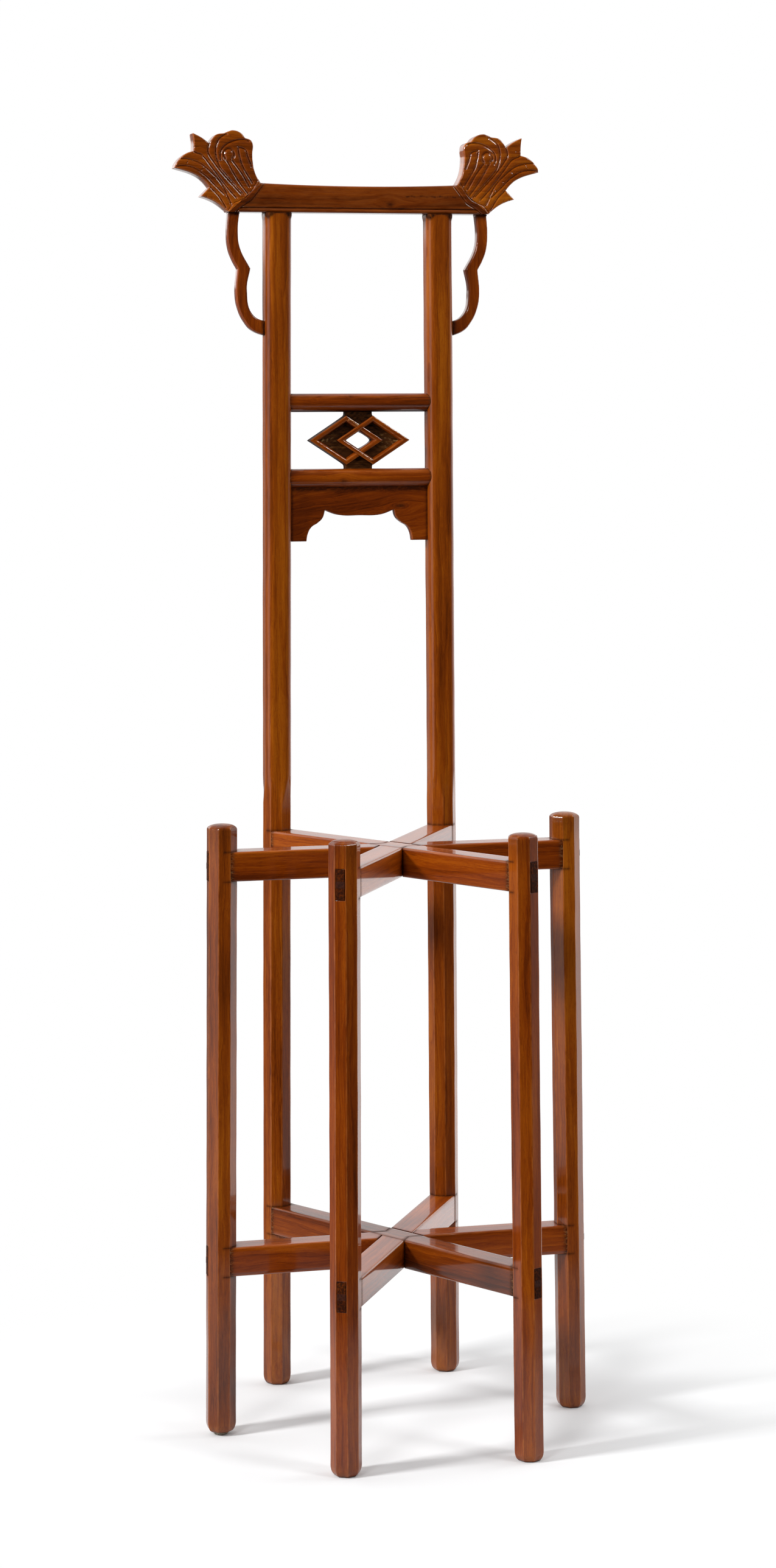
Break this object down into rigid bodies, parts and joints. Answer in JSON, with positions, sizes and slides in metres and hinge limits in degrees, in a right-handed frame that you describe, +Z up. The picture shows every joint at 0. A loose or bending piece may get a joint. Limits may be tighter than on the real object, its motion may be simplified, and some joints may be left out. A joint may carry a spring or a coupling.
{
  "type": "basin stand",
  "caption": "Hexagonal wooden wash-basin stand with crossed lapped rails on two levels and a tall back of two posts with a pierced fret, shaped apron and scrolled crest.",
  "frame": {"origin": "on the floor, in the middle of the six feet", "axes": "+Z up, +Y towards the tall back, +X towards the right-hand leg as seen from the front"},
  "size_m": [0.4846, 0.4266, 1.5932],
  "materials": {
    "varnished_wood": "reddish-brown open-grained hardwood under glossy varnish",
    "wedge_wood": "dark oiled end grain",
    "foot_pad": "dull, grey-beige, worn"
  },
  "bodies": {
    "root": {"front_left_leg": "varnished_wood", "front_right_leg": "varnished_wood", "left_leg": "varnished_wood", "right_leg": "varnished_wood", "rear_left_post": "varnished_wood", "rear_right_post": "varnished_wood", "upper_rail_left_to_right": "varnished_wood", "upper_rail_front_left_to_rear_right": "varnished_wood", "upper_rail_rear_left_to_front_right": "varnished_wood", "lower_rail_left_to_right": "varnished_wood", "lower_rail_front_left_to_rear_right": "varnished_wood", "lower_rail_rear_left_to_front_right": "varnished_wood", "front_left_leg_upper_wedge": "wedge_wood", "front_left_leg_lower_wedge": "wedge_wood", "front_right_leg_upper_wedge": "wedge_wood", "front_right_leg_lower_wedge": "wedge_wood", "left_leg_upper_wedge": "wedge_wood", "left_leg_lower_wedge": "wedge_wood", "right_leg_upper_wedge": "wedge_wood", "right_leg_lower_wedge": "wedge_wood", "rear_left_post_upper_wedge": "wedge_wood", "rear_left_post_lower_wedge": "wedge_wood", "rear_right_post_upper_wedge": "wedge_wood", "rear_right_post_lower_wedge": "wedge_wood", "foot_pad": "foot_pad", "crest_rail": "varnished_wood", "left_carved_end": "varnished_wood", "right_carved_end": "varnished_wood", "left_spandrel": "varnished_wood", "right_spandrel": "varnished_wood", "upper_cross_rail": "varnished_wood", "lower_cross_rail": "varnished_wood", "fret_panel": "varnished_wood", "apron": "varnished_wood"}
  },
  "joints": []
}
